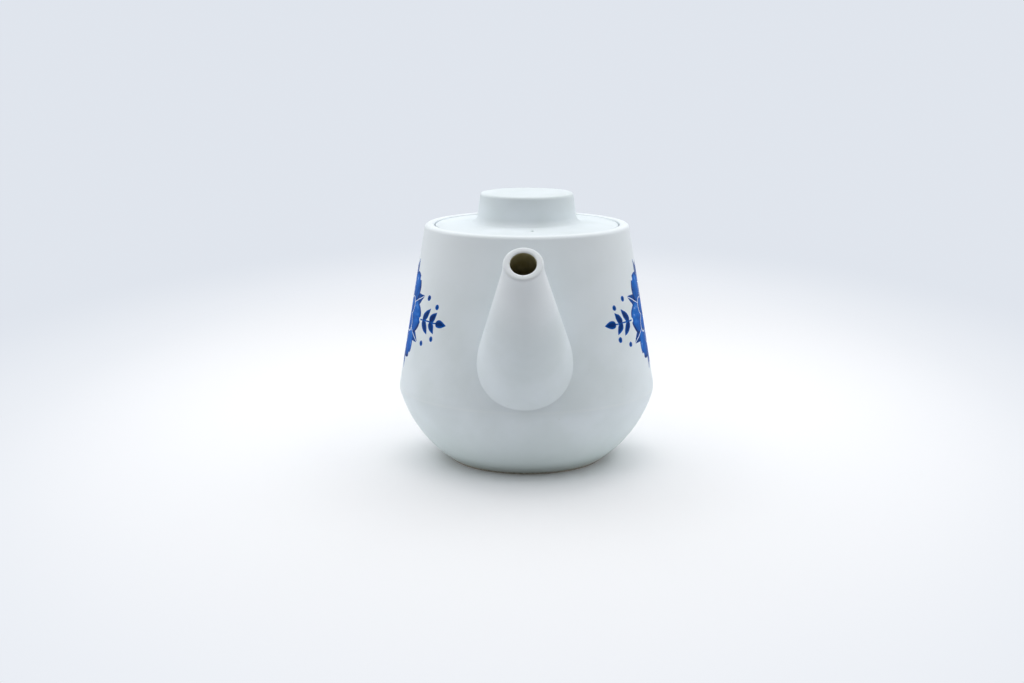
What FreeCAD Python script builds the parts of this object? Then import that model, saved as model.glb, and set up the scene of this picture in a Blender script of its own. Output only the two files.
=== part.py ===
"""Porcelain teapot: a one-litre pot with a conical spout, an ear handle and a lift-off lid.

Units are millimetres and +Z is up. The origin is on the pot's axis, on the surface that it
stands on. The spout points along -Y and the handle along +Y. Every clay piece is a solid of
its own, as it lies on the bench before it is joined to the others with slip.
"""

import FreeCAD, Part

import math
import os

from FreeCAD import Vector

# Pot: widest ring, rim and wall
BELLY_RADIUS = 65.0
BELLY_HEIGHT = 37.75
RIM_RADIUS = 51.3
RIM_HEIGHT = 120.4
WALL = 3.8
SHOULDER_RADIUS = 12.0
SHOULDER_TURN = 17.0  # degrees from the widest ring down to where the bowl starts
BOWL_RADIUS = 62.0
LIP_OUTER_ROUND = 2.0
LIP_INNER_ROUND = 0.8

# Pot: floor and foot ring
FOOT_HEIGHT = 3.5
FOOT_INNER_RADIUS = 34.8
FOOT_STEP = 1.2  # height of the bare step that the bowl's outer face ends above
FOOT_INSET = 0.8
FOOT_OUTER_ROUND = 0.4
FOOT_INNER_ROUND = 1.2
FLOOR = 4.5
FLOOR_FILLET = 9.0

# Mouth and the ledge that carries the lid
MOUTH_RADIUS = 46.8
LEDGE_RADIUS = 43.0
LEDGE_THICKNESS = 3.4
LEDGE_SLOPE = 45.0  # degrees from level, on the underside of the ledge

# Lid
LID_RECESS = 0.4  # depth of the lid's edge below the rim
LID_GAP = 0.7
LID_EDGE = 3.2
LID_EDGE_ROUND = 0.6
LID_DISC = 3.6
LID_CROWN = 1.4  # rise of the lid from its edge to the foot of the knob
LID_BULGE = 0.3  # how far the crown's middle stands above a straight slope
COLLAR_GAP = 0.8
COLLAR_WALL = 3.0
COLLAR_DEPTH = 13.0
COLLAR_TAPER = 0.8
VENT_RADIUS = 0.95
VENT_CIRCLE = 36.0
VENT_AZIMUTH = 5.0  # degrees from the spout's side towards +X

# Knob
KNOB_TOP_RADIUS = 23.4
KNOB_TOP_HEIGHT = 135.9
KNOB_LEAN = 7.1  # degrees by which the knob's side leans in towards its top
KNOB_WALL = 3.4
KNOB_TOP = 3.6
KNOB_FILLET = 3.5
KNOB_EDGE_ROUND = 1.5
KNOB_CEILING_ROUND = 3.0

# Spout: a cone from a circle near the wall to a short straight lip
SPOUT_BASE_HEIGHT = 65.8
SPOUT_BASE_RADIUS = 21.9
SPOUT_BASE_ANGLE = 25.0  # elevation of the base circle's outward normal, in degrees
SPOUT_TIP_REACH = 109.2
SPOUT_TIP_HEIGHT = 116.7
SPOUT_TIP_RADIUS = 9.1
SPOUT_BORE_RADIUS = 5.65
SPOUT_MOUTH_ANGLE = 44.0  # elevation of the mouth's outward normal, in degrees
SPOUT_WALL = 2.6
SPOUT_LIP = 0.08  # share of the spout's length that is straight at the mouth
SPOUT_LIP_ROUND = 1.1
SPOUT_ROOT = 0.25  # share of the spout's length that runs on inside the pot and is cut off
SPOUT_RUNOUT = 0.05  # share of that length by which the bore's drill passes both ends

# Strainer in the wall behind the spout
PORT_HEIGHT = 63.0
PORT_RADIUS = 16.0
STRAINER_WALL = 2.4
STRAINER_RIM = 2.0
STRAINER_DOME_RADIUS = 22.0
STRAINER_HOLE_RADIUS = 1.5
STRAINER_RING_STEP = 5.0
STRAINER_RINGS = 2
HOLES_IN_FIRST_RING = 6

# Handle: centreline in the YZ plane, and its oval sections
HANDLE_REACH = 115.11
HANDLE_TOP_HEIGHT = 103.0
HANDLE_TOP_RISE = 8.0  # degrees above level at which the handle leaves the wall
HANDLE_TOP_BEND = 22.0
HANDLE_LEAN = 13.0  # degrees by which the grip leans in towards its foot
HANDLE_FOOT_BEND = 24.0
HANDLE_FOOT_HEIGHT = 47.0
HANDLE_FOOT_FALL = 20.0  # degrees below level at which the handle's foot leaves the wall
HANDLE_ROOT = 7.0
HANDLE_SECTIONS = 25
HANDLE_THICKNESS = 9.6
HANDLE_TOP_WIDTH = 20.0
HANDLE_FOOT_WIDTH = 15.0
HANDLE_FLARE = 4.0  # growth of the sections, all round, at the two ends of the centreline
HANDLE_FLARE_LENGTH = 18.0

AXIS = Vector(0, 0, 1)
ORIGIN = Vector(0, 0, 0)
ACROSS = Vector(1, 0, 0)
SAME_POINT = 1e-6


def polar(angle):
    """Level and upward parts of a unit vector at an angle in degrees above level."""
    return math.cos(math.radians(angle)), math.sin(math.radians(angle))


class Outline:
    """A closed outline in the (radius, height) plane, made of straight runs and arcs."""

    def __init__(self, radius, height):
        self.start = Vector(radius, 0, height)
        self.end = self.start
        self.edges = []

    def line(self, radius, height):
        target = Vector(radius, 0, height)
        if (target - self.end).Length > SAME_POINT:
            self.edges.append(Part.LineSegment(self.end, target).toShape())
            self.end = target
        return self

    def arc(self, centre, radius, first, last):
        """A straight run to an arc round centre, then the arc between two angles in degrees."""

        def point(angle):
            level, up = polar(angle)
            return Vector(centre[0] + radius * level, 0, centre[1] + radius * up)

        self.line(point(first).x, point(first).z)
        return self.through(point((first + last) / 2), point(last))

    def through(self, middle, last):
        """An arc through a middle point to a last one."""
        self.edges.append(Part.Arc(self.end, middle, last).toShape())
        self.end = last
        return self

    def turned(self):
        """The solid that this outline makes when it is turned about the pot's axis."""
        self.line(self.start.x, self.start.z)
        return Part.Face(Part.Wire(self.edges)).revolve(ORIGIN, AXIS, 360)


# Shape of the pot's wall: a cone that runs tangent into the shoulder, and the bowl below it
shoulder_centre = (BELLY_RADIUS - SHOULDER_RADIUS, BELLY_HEIGHT)
rim_out = RIM_RADIUS - shoulder_centre[0]
rim_up = RIM_HEIGHT - shoulder_centre[1]
tangent_turn = math.asin(SHOULDER_RADIUS / math.hypot(rim_out, rim_up))
WALL_ANGLE = math.degrees(tangent_turn - math.atan2(rim_out, rim_up))
wall_level, wall_rise = polar(WALL_ANGLE)
turn_level, turn_rise = polar(SHOULDER_TURN)
bowl_centre = (
    shoulder_centre[0] - (BOWL_RADIUS - SHOULDER_RADIUS) * turn_level,
    shoulder_centre[1] + (BOWL_RADIUS - SHOULDER_RADIUS) * turn_rise,
)

# Heights and radii that several pieces share
LEDGE_HEIGHT = RIM_HEIGHT - LID_RECESS - LID_EDGE
LID_TOP_HEIGHT = LEDGE_HEIGHT + LID_EDGE + LID_CROWN
lean_level, lean_rise = polar(KNOB_LEAN)
KNOB_SEAM_HEIGHT = LID_TOP_HEIGHT + KNOB_FILLET * (1 - lean_rise)
KNOB_BASE_RADIUS = KNOB_TOP_RADIUS + (KNOB_TOP_HEIGHT - KNOB_SEAM_HEIGHT) * lean_rise / lean_level
KNOB_OPENING_RADIUS = KNOB_BASE_RADIUS - KNOB_WALL
COLLAR_RADIUS = LEDGE_RADIUS - COLLAR_GAP
COLLAR_INNER_RADIUS = COLLAR_RADIUS - COLLAR_WALL


def wall_radius(height, inset=0.0):
    """Radius of the conical wall at a height, or of its inner face at an inset."""
    return RIM_RADIUS + (RIM_HEIGHT - height) * wall_rise / wall_level - inset / wall_level


# Seam between wall and rim: square to the wall, where the ledge's sloping underside ends
LEDGE_BOTTOM = LEDGE_HEIGHT - LEDGE_THICKNESS
overhang = wall_radius(LEDGE_BOTTOM, WALL) - LEDGE_RADIUS
slope_run = 1 / math.tan(math.radians(LEDGE_SLOPE)) - wall_rise / wall_level
seam_height = LEDGE_BOTTOM - overhang / slope_run
seam_inside = (wall_radius(seam_height, WALL), seam_height)
seam_outside = (seam_inside[0] + WALL * wall_level, seam_inside[1] + WALL * wall_rise)


def edge_centre(radius, height, lean, edge_round):
    """Centre of the arc that rounds the top edge of a wall that leans in by some degrees."""
    setback = edge_round * math.tan(math.radians((90 - lean) / 2))
    return radius - setback, height - edge_round


def bowl_angle(height):
    """Angle about the bowl's centre, in degrees below level, of its outer face at a height."""
    return math.degrees(math.asin((bowl_centre[1] - height) / BOWL_RADIUS))


def bowl_fillet(inset, level, radius):
    """Centre and start, in degrees below level, of the arc from the bowl to a level face."""
    reach = BOWL_RADIUS - inset - radius
    turn = math.degrees(math.asin((bowl_centre[1] - level - radius) / reach))
    return (bowl_centre[0] + reach * polar(turn)[0], level + radius), turn


def pot_outside():
    """The pot as a filled solid, for cutting the pieces that are joined to its outside."""
    outline = Outline(0, FOOT_HEIGHT)
    outline.arc(bowl_centre, BOWL_RADIUS, -bowl_angle(FOOT_HEIGHT), -SHOULDER_TURN)
    outline.arc(shoulder_centre, SHOULDER_RADIUS, -SHOULDER_TURN, WALL_ANGLE)
    return outline.line(RIM_RADIUS, RIM_HEIGHT).line(0, RIM_HEIGHT).turned()


def pot_bowl():
    """Floor and bowl of the cast vessel, up to its seam at the shoulder."""
    floor_height = FOOT_HEIGHT + FLOOR
    fillet_centre, fillet_turn = bowl_fillet(WALL, floor_height, FLOOR_FILLET)
    outline = Outline(0, FOOT_HEIGHT)
    outline.arc(bowl_centre, BOWL_RADIUS, -bowl_angle(FOOT_HEIGHT), -SHOULDER_TURN)
    outline.arc(bowl_centre, BOWL_RADIUS - WALL, -SHOULDER_TURN, -fillet_turn)
    outline.arc(fillet_centre, FLOOR_FILLET, -fillet_turn, -90)
    return outline.line(0, floor_height).turned()


def pot_wall():
    """Shoulder and conical wall, with the port for the strainer."""
    outline = Outline(*seam_inside)
    outline.arc(shoulder_centre, SHOULDER_RADIUS - WALL, WALL_ANGLE, -SHOULDER_TURN)
    outline.arc(shoulder_centre, SHOULDER_RADIUS, -SHOULDER_TURN, WALL_ANGLE)
    return outline.line(*seam_outside).turned().cut(port())


def pot_rim():
    """Top of the wall with its rounded lip, and the ledge that carries the lid."""
    outer_lip = edge_centre(RIM_RADIUS, RIM_HEIGHT, WALL_ANGLE, LIP_OUTER_ROUND)
    inner_lip = (MOUTH_RADIUS + LIP_INNER_ROUND, RIM_HEIGHT - LIP_INNER_ROUND)
    outline = Outline(*seam_inside).line(*seam_outside)
    outline.arc(outer_lip, LIP_OUTER_ROUND, WALL_ANGLE, 90)
    outline.arc(inner_lip, LIP_INNER_ROUND, 90, 180)
    outline.line(MOUTH_RADIUS, LEDGE_HEIGHT).line(LEDGE_RADIUS, LEDGE_HEIGHT)
    return outline.line(LEDGE_RADIUS, LEDGE_BOTTOM).turned()


def foot_ring():
    """Ring under the floor, flush with the bowl outside down to a step, and bare of glaze below it."""
    step_turn = bowl_angle(FOOT_STEP)
    step_radius = bowl_centre[0] + BOWL_RADIUS * polar(step_turn)[0] - FOOT_INSET
    outer_centre = (step_radius - FOOT_OUTER_ROUND, FOOT_OUTER_ROUND)
    inner_centre = (FOOT_INNER_RADIUS + FOOT_INNER_ROUND, FOOT_INNER_ROUND)
    outline = Outline(FOOT_INNER_RADIUS, FOOT_HEIGHT)
    outline.arc(bowl_centre, BOWL_RADIUS, -bowl_angle(FOOT_HEIGHT), -step_turn)
    outline.line(step_radius, FOOT_STEP)
    outline.arc(outer_centre, FOOT_OUTER_ROUND, 0, -90)
    outline.arc(inner_centre, FOOT_INNER_ROUND, -90, -180)
    return outline.turned()


# Where the spout starts on the wall and ends at its mouth, with the way up across each
base_level, base_rise = polar(SPOUT_BASE_ANGLE)
base_up = Vector(0, base_rise, base_level)
spout_base = Vector(0, -wall_radius(SPOUT_BASE_HEIGHT), SPOUT_BASE_HEIGHT)
mouth_level, mouth_rise = polar(SPOUT_MOUTH_ANGLE)
mouth_out = Vector(0, -mouth_level, mouth_rise)
mouth_up = Vector(0, mouth_rise, mouth_level)
spout_tip = Vector(0, -SPOUT_TIP_REACH, SPOUT_TIP_HEIGHT)

# Middle of the port on the wall's outer face, and the way out of it
wall_out = Vector(0, -wall_level, wall_rise)
port_centre = Vector(0, -wall_radius(PORT_HEIGHT), PORT_HEIGHT)


def spout_section(share, base_radius, end_radius):
    """Circle of one of the spout's cones at a share of its length: 0 on the wall, 1 at the mouth."""
    rest = 1 - share
    up = base_up * (base_radius * rest) + mouth_up * (end_radius * share)
    centre = spout_base * rest + spout_tip * share
    circle = Part.Circle(centre, ACROSS.cross(up), base_radius * rest + end_radius * share)
    circle.XAxis = ACROSS
    return Part.Wire(circle.toShape())


def spout():
    """Hollow cone with a straight, rounded lip, cut to the wall that it is joined to."""
    neck = 1 - SPOUT_LIP
    cone_end_radius = SPOUT_BASE_RADIUS + (SPOUT_TIP_RADIUS - SPOUT_BASE_RADIUS) / neck
    sections = [
        spout_section(-SPOUT_ROOT, SPOUT_BASE_RADIUS, cone_end_radius),
        spout_section(neck, SPOUT_BASE_RADIUS, cone_end_radius),
        spout_section(1, SPOUT_BASE_RADIUS, SPOUT_TIP_RADIUS),
    ]
    bore_ends = [
        spout_section(share, SPOUT_BASE_RADIUS - SPOUT_WALL, SPOUT_BORE_RADIUS)
        for share in (-SPOUT_ROOT - SPOUT_RUNOUT, 1 + SPOUT_RUNOUT)
    ]
    hollow = Part.makeLoft(sections, True, True).cut(Part.makeLoft(bore_ends, True, True))
    mouth_face = max(hollow.Faces, key=lambda face: face.CenterOfMass.dot(mouth_out))
    return hollow.makeFillet(SPOUT_LIP_ROUND, mouth_face.Edges).cut(pot_outside())


def port():
    """Round drill through the wall behind the spout."""
    foot = port_centre - wall_out * PORT_RADIUS
    return Part.makeCylinder(PORT_RADIUS, 2 * PORT_RADIUS, foot, wall_out)


def strainer_holes():
    """Drills for the strainer: one in the middle, then rings of holes round it."""
    places = [(0, 0)]
    for ring in range(1, STRAINER_RINGS + 1):
        count = ring * HOLES_IN_FIRST_RING
        places += [(ring * STRAINER_RING_STEP, 360 * index / count) for index in range(count)]
    drills = []
    for distance, azimuth in places:
        level, side = polar(azimuth)
        foot = Vector(distance * level, distance * side, -STRAINER_DOME_RADIUS)
        drills.append(Part.makeCylinder(STRAINER_HOLE_RADIUS, 2 * STRAINER_DOME_RADIUS, foot))
    return drills


def spout_strainer():
    """Pierced dome that is set in the port and bulges into the pot."""
    rim_inner = PORT_RADIUS - STRAINER_WALL
    dome_inner = STRAINER_DOME_RADIUS - STRAINER_WALL
    outer_angle = math.degrees(math.acos(PORT_RADIUS / STRAINER_DOME_RADIUS))
    inner_angle = math.degrees(math.acos(rim_inner / dome_inner))
    centre = (0, STRAINER_DOME_RADIUS * polar(outer_angle)[1])
    outline = Outline(0, centre[1] - STRAINER_DOME_RADIUS)
    outline.arc(centre, STRAINER_DOME_RADIUS, -90, -outer_angle)
    outline.line(PORT_RADIUS, STRAINER_RIM).line(rim_inner, STRAINER_RIM)
    outline.arc(centre, dome_inner, -inner_angle, -90)
    dome = outline.turned().cut(strainer_holes())
    inner_face = port_centre - wall_out * WALL
    dome.Placement = FreeCAD.Placement(inner_face, FreeCAD.Rotation(AXIS, wall_out))
    return dome


def handle_path():
    """Points along the centreline, from inside the wall at the top to inside it at the foot."""

    def way(angle):
        level, up = polar(angle)
        return Vector(0, level, up)

    def bend(centre, radius, first, last):
        points = [centre + way(angle) * radius for angle in (first, (first + last) / 2, last)]
        return Part.Arc(*points).toShape()

    top = Vector(0, wall_radius(HANDLE_TOP_HEIGHT) - HANDLE_ROOT, HANDLE_TOP_HEIGHT)
    foot = Vector(0, wall_radius(HANDLE_FOOT_HEIGHT) - HANDLE_ROOT, HANDLE_FOOT_HEIGHT)

    # The top bend touches the run out of the wall, and its far side sets the handle's reach
    over_top = way(90 + HANDLE_TOP_RISE)
    bend_reach = HANDLE_REACH - HANDLE_THICKNESS / 2 - HANDLE_TOP_BEND
    run_out = (bend_reach - top.y + HANDLE_TOP_BEND * over_top.y) / polar(HANDLE_TOP_RISE)[0]
    upper = top + way(HANDLE_TOP_RISE) * run_out - over_top * HANDLE_TOP_BEND

    # The foot bend touches the leaning grip and the run back to the wall
    grip = upper + way(-HANDLE_LEAN) * (HANDLE_TOP_BEND - HANDLE_FOOT_BEND)
    down_grip = way(-90 - HANDLE_LEAN)
    above_foot = way(90 - HANDLE_FOOT_FALL)
    travel = (HANDLE_FOOT_BEND - (grip - foot).dot(above_foot)) / down_grip.dot(above_foot)
    lower = grip + down_grip * travel

    first_bend = bend(upper, HANDLE_TOP_BEND, 90 + HANDLE_TOP_RISE, -HANDLE_LEAN)
    second_bend = bend(lower, HANDLE_FOOT_BEND, -HANDLE_LEAN, -90 - HANDLE_FOOT_FALL)
    corners = [
        top,
        first_bend.firstVertex().Point,
        first_bend.lastVertex().Point,
        second_bend.firstVertex().Point,
        second_bend.lastVertex().Point,
        foot,
    ]
    runs = [Part.LineSegment(corners[i], corners[i + 1]).toShape() for i in (0, 2, 4)]
    path = Part.Wire([runs[0], first_bend, runs[1], second_bend, runs[2]])
    return path.discretize(Number=HANDLE_SECTIONS)


def handle():
    """Ear handle: oval sections along the centreline, flared and cut to the wall at both ends."""
    points = handle_path()
    spacing = (points[1] - points[0]).Length
    sections = []
    for index, point in enumerate(points):
        share = index / (HANDLE_SECTIONS - 1)
        along = points[min(index + 1, HANDLE_SECTIONS - 1)] - points[max(index - 1, 0)]
        outward = ACROSS.cross(along).normalize()
        to_end = spacing * min(index, HANDLE_SECTIONS - 1 - index)
        flare = HANDLE_FLARE * max(0, 1 - to_end / HANDLE_FLARE_LENGTH) ** 2
        half_width = (HANDLE_TOP_WIDTH * (1 - share) + HANDLE_FOOT_WIDTH * share) / 2
        side = point + ACROSS * (half_width + flare)
        back = point + outward * (HANDLE_THICKNESS / 2 + flare)
        sections.append(Part.Wire(Part.Ellipse(side, back, point).toShape()))
    return Part.makeLoft(sections, True, False).cut(pot_outside())


def lid_disc():
    """Crowned disc that rests on the ledge, open under the knob and pierced by the vent."""
    edge_radius = MOUTH_RADIUS - LID_GAP
    edge_top = LEDGE_HEIGHT + LID_EDGE
    boss_foot = KNOB_BASE_RADIUS + KNOB_FILLET * lean_level
    crown_middle = Vector((edge_radius + boss_foot) / 2, 0, edge_top + LID_CROWN / 2 + LID_BULGE)
    outline = Outline(KNOB_OPENING_RADIUS, LID_TOP_HEIGHT - LID_DISC)
    outline.line(COLLAR_INNER_RADIUS, LEDGE_HEIGHT).line(edge_radius, LEDGE_HEIGHT)
    outline.arc(edge_centre(edge_radius, edge_top, 0, LID_EDGE_ROUND), LID_EDGE_ROUND, 0, 90)
    outline.through(crown_middle, Vector(boss_foot, 0, LID_TOP_HEIGHT))
    fillet_centre = (boss_foot, LID_TOP_HEIGHT + KNOB_FILLET)
    outline.arc(fillet_centre, KNOB_FILLET, -90, KNOB_LEAN - 180)
    outline.line(KNOB_OPENING_RADIUS, KNOB_SEAM_HEIGHT)

    side, back = polar(VENT_AZIMUTH - 90)
    vent_foot = Vector(VENT_CIRCLE * side, VENT_CIRCLE * back, LEDGE_HEIGHT)
    vent = Part.makeCylinder(VENT_RADIUS, LID_EDGE + LID_CROWN, vent_foot)
    return outline.turned().cut(vent)


def lid_collar():
    """Ring under the lid that hangs inside the ledge and keeps the lid centred."""
    toe_round = (COLLAR_WALL - COLLAR_TAPER) / 2
    toe_centre = (COLLAR_INNER_RADIUS + toe_round, LEDGE_HEIGHT - COLLAR_DEPTH + toe_round)
    outline = Outline(COLLAR_INNER_RADIUS, LEDGE_HEIGHT)
    outline.line(COLLAR_RADIUS, LEDGE_HEIGHT)
    outline.arc(toe_centre, toe_round, 0, -180)
    return outline.turned()


def lid_knob():
    """Hollow knob, an upturned cup joined to the boss of the lid."""
    top_centre = edge_centre(KNOB_TOP_RADIUS, KNOB_TOP_HEIGHT, KNOB_LEAN, KNOB_EDGE_ROUND)
    ceiling = KNOB_TOP_HEIGHT - KNOB_TOP
    ceiling_radius = KNOB_TOP_RADIUS - KNOB_WALL
    ceiling_centre = (ceiling_radius - KNOB_CEILING_ROUND, ceiling - KNOB_CEILING_ROUND)
    outline = Outline(KNOB_OPENING_RADIUS, KNOB_SEAM_HEIGHT)
    outline.line(KNOB_BASE_RADIUS, KNOB_SEAM_HEIGHT)
    outline.arc(top_centre, KNOB_EDGE_ROUND, KNOB_LEAN, 90)
    outline.line(0, KNOB_TOP_HEIGHT).line(0, ceiling)
    outline.arc(ceiling_centre, KNOB_CEILING_ROUND, 90, 0)
    return outline.turned()


PIECES = [
    pot_bowl,
    pot_wall,
    pot_rim,
    foot_ring,
    spout,
    spout_strainer,
    handle,
    lid_disc,
    lid_collar,
    lid_knob,
]

os.makedirs("parts", exist_ok=True)
for make_piece in PIECES:
    name = make_piece.__name__
    shape = make_piece()
    state = "valid" if shape.isValid() else "not valid"
    print(f"{name}: {state}, {len(shape.Solids)} solid, {shape.Volume / 1000:.1f} cm3")
    shape.exportStep(f"parts/{name}.step")
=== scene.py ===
"""Looks of the porcelain teapot: fine meshes, glaze, brushwork, floor, light and camera.

Shapes are worked out in millimetres in the model's own frame, +Z up with the spout along -Y,
and are scaled to metres when their meshes are made.
"""

import math

import bmesh
import bpy
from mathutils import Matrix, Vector


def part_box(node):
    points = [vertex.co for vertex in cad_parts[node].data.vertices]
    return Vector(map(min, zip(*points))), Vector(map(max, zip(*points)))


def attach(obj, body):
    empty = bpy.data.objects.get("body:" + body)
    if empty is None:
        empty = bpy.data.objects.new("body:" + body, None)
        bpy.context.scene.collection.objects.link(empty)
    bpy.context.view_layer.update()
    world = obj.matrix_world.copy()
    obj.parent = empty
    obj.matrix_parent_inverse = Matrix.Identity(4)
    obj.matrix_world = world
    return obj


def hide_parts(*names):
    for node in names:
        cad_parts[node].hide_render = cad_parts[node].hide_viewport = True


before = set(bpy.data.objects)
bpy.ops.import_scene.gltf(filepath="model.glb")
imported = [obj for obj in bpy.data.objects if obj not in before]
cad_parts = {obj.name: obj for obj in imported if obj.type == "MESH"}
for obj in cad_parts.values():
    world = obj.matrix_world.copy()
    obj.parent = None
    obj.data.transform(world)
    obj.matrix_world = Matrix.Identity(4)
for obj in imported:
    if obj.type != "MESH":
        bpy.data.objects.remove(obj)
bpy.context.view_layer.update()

MM = 0.001


def node_box(node):
    """Lowest and highest corner of a node of the frame, in millimetres."""
    low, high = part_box(node)
    return low / MM, high / MM


# Pot: sizes read from the frame, then the curves between them
BELLY_RADIUS = node_box("pot_wall")[1].x
FOOT_HEIGHT = node_box("pot_bowl")[0].z
RIM_HEIGHT = node_box("pot_rim")[1].z
BELLY_HEIGHT = 37.75
RIM_RADIUS = 51.3
WALL = 3.8  # thickness
SHOULDER_RADIUS = 12.0
SHOULDER_TURN = 17.0  # degrees from the widest ring down to where the bowl starts
BOWL_RADIUS = 62.0
LIP_OUTER_ROUND = 2.0
LIP_INNER_ROUND = 0.8
FLOOR = 4.5  # thickness
FLOOR_FILLET = 9.0
FOOT_INNER_RADIUS = 34.8
FOOT_STEP = 1.2  # height of a small step, below which the clay is bare
FOOT_INSET = 0.8
FOOT_OUTER_ROUND = 0.4
FOOT_INNER_ROUND = 1.2
EDGE_ROUND = 0.5

# Lid, its collar and its knob
lid_low, lid_high = node_box("lid_disc")
collar_low, collar_high = node_box("lid_collar")
knob_low, knob_high = node_box("lid_knob")
MOUTH_RADIUS = 46.8
LEDGE_RADIUS = 43.0
LEDGE_THICKNESS = 3.4
LEDGE_FOOT_ROUND = 2.0
LEDGE_HEIGHT = lid_low.z
LID_RADIUS = lid_high.x
LID_EDGE = 3.2  # thickness at its edge
LID_EDGE_ROUND = 0.6
LID_DISC = 3.6  # thickness at the foot of the knob
LID_CROWN = 1.4  # rise of the lid from its edge to the foot of the knob
LID_BULGE = 0.3  # how far the crown's middle stands above a straight slope
COLLAR_RADIUS = collar_high.x
COLLAR_BOTTOM = collar_low.z
COLLAR_WALL = 3.0
COLLAR_TAPER = 0.8
VENT_RADIUS = 0.95
VENT_CIRCLE = 36.0
VENT_AZIMUTH = 5.0  # degrees from the spout's side towards +X
KNOB_SEAM_HEIGHT = knob_low.z
KNOB_TOP_HEIGHT = knob_high.z
KNOB_BASE_RADIUS = knob_high.x
KNOB_TOP_RADIUS = 23.4
KNOB_LEAN = 7.1  # degrees that its side leans in towards the top
KNOB_FILLET = 3.5
KNOB_WALL = 3.4
KNOB_TOP = 3.6  # thickness of its top
KNOB_EDGE_ROUND = 1.5
KNOB_CEILING_ROUND = 3.0

# Spout and the port behind it
SPOUT_BASE_HEIGHT = 65.8
SPOUT_BASE_RADIUS = 21.9
SPOUT_BASE_ANGLE = 25.0  # degrees above level that the base's circle faces
SPOUT_TIP_REACH = 109.2
SPOUT_TIP_HEIGHT = 116.7
SPOUT_TIP_RADIUS = 9.1
SPOUT_BORE_RADIUS = 5.65
SPOUT_MOUTH_ANGLE = 44.0  # degrees above level that the mouth faces
SPOUT_WALL = 2.6
SPOUT_LIP = 0.08  # share of its length that has parallel sides, at the mouth
SPOUT_LIP_ROUND = 1.1
SPOUT_ROOT = 0.25  # share of its length that the cone runs on into the pot
SPOUT_JOIN = 0.35  # fillet at the wall
SPOUT_NECK_ROUND = 4.0
PORT_HEIGHT = 63.0
PORT_RADIUS = 16.0

# Handle
HANDLE_REACH = node_box("handle")[1].y
HANDLE_TOP_HEIGHT = 103.0
HANDLE_TOP_RISE = 8.0  # degrees that its top run climbs from the wall
HANDLE_TOP_BEND = 22.0
HANDLE_LEAN = 13.0  # degrees that its grip leans in towards its foot
HANDLE_FOOT_BEND = 24.0
HANDLE_FOOT_HEIGHT = 47.0
HANDLE_FOOT_FALL = 20.0  # degrees that its foot run falls from the wall
HANDLE_ROOT = 7.0  # how deep in the pot's wall its centreline starts
HANDLE_THICKNESS = 9.6
HANDLE_TOP_WIDTH = 20.0
HANDLE_FOOT_WIDTH = 15.0
HANDLE_FLARE = 4.0  # how much it widens to each side at its ends
HANDLE_FLARE_LENGTH = 18.0
HANDLE_JOIN = 1.0  # fillet at the wall

# Fineness of the meshes: counts, lengths in millimetres and angles in degrees
TURN_SEGMENTS = 192
SPOUT_SEGMENTS = 128
HANDLE_SEGMENTS = 64
PORT_SEGMENTS = 96
VENT_SEGMENTS = 32
CORNER_STEPS = 4
FILLET_STEPS = 6
SPOUT_STEPS = 32
BORE_STEPS = 24
ARC_STEP = 4.0
RUN_STEP = 2.5
SHARP_EDGE = 35.0
ARC_SETBACK = 1.2  # how far from its corner a curve starts that is as round as an arc of radius 1

# Small distances
SINK = 0.06  # how far a joined piece's edge lies below the surface that it runs into
ON_AXIS = 0.06  # a point nearer to the axis than this is on it
SLOPE_STEP = 0.06  # height to either side that a slope is measured over
CROSSING_ACCURACY = 0.0006  # how closely the place is found where a line meets the wall


def polar(angle):
    """Level and upward parts of a unit vector at an angle in degrees above level."""
    return math.cos(math.radians(angle)), math.sin(math.radians(angle))


# Shape of the pot's wall: a cone that runs tangent into the shoulder, and the bowl below it
shoulder_centre = (BELLY_RADIUS - SHOULDER_RADIUS, BELLY_HEIGHT)
rim_out = RIM_RADIUS - shoulder_centre[0]
rim_up = RIM_HEIGHT - shoulder_centre[1]
tangent_turn = math.asin(SHOULDER_RADIUS / math.hypot(rim_out, rim_up))
WALL_ANGLE = math.degrees(tangent_turn - math.atan2(rim_out, rim_up))
wall_level, wall_rise = polar(WALL_ANGLE)
turn_level, turn_rise = polar(SHOULDER_TURN)
bowl_centre = (
    shoulder_centre[0] - (BOWL_RADIUS - SHOULDER_RADIUS) * turn_level,
    shoulder_centre[1] + (BOWL_RADIUS - SHOULDER_RADIUS) * turn_rise,
)
shoulder_top = shoulder_centre[1] + SHOULDER_RADIUS * wall_rise
shoulder_bottom = shoulder_centre[1] - SHOULDER_RADIUS * turn_rise


def cone_radius(height, inset=0.0):
    """Radius of the conical wall at a height, or of its inner face at an inset."""
    return RIM_RADIUS + (RIM_HEIGHT - height) * wall_rise / wall_level - inset / wall_level


def pot_radius(height):
    """Radius of the pot's outer face at any height."""
    if height >= shoulder_top:
        return cone_radius(height)
    centre, radius = shoulder_centre, SHOULDER_RADIUS
    if height < shoulder_bottom:
        centre, radius = bowl_centre, BOWL_RADIUS
    return centre[0] + math.sqrt(radius**2 - (height - centre[1]) ** 2)


def edge_centre(radius, height, lean, edge_round):
    """Centre of the arc that rounds the top edge of a wall that leans in by some degrees."""
    setback = edge_round * math.tan(math.radians((90 - lean) / 2))
    return radius - setback, height - edge_round


def bowl_angle(height):
    """Angle about the bowl's centre, in degrees below level, of its outer face at a height."""
    return math.degrees(math.asin((bowl_centre[1] - height) / BOWL_RADIUS))


def bowl_fillet(inset, level, radius):
    """Centre and start, in degrees below level, of the arc from the bowl to a level face."""
    reach = BOWL_RADIUS - inset - radius
    turn = math.degrees(math.asin((bowl_centre[1] - level - radius) / reach))
    return (bowl_centre[0] + reach * polar(turn)[0], level + radius), turn


def even_steps(start, end, steps):
    """Points in even steps from start, which isn't among them, to end."""
    return [start.lerp(end, step / steps) for step in range(1, steps + 1)]


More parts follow.
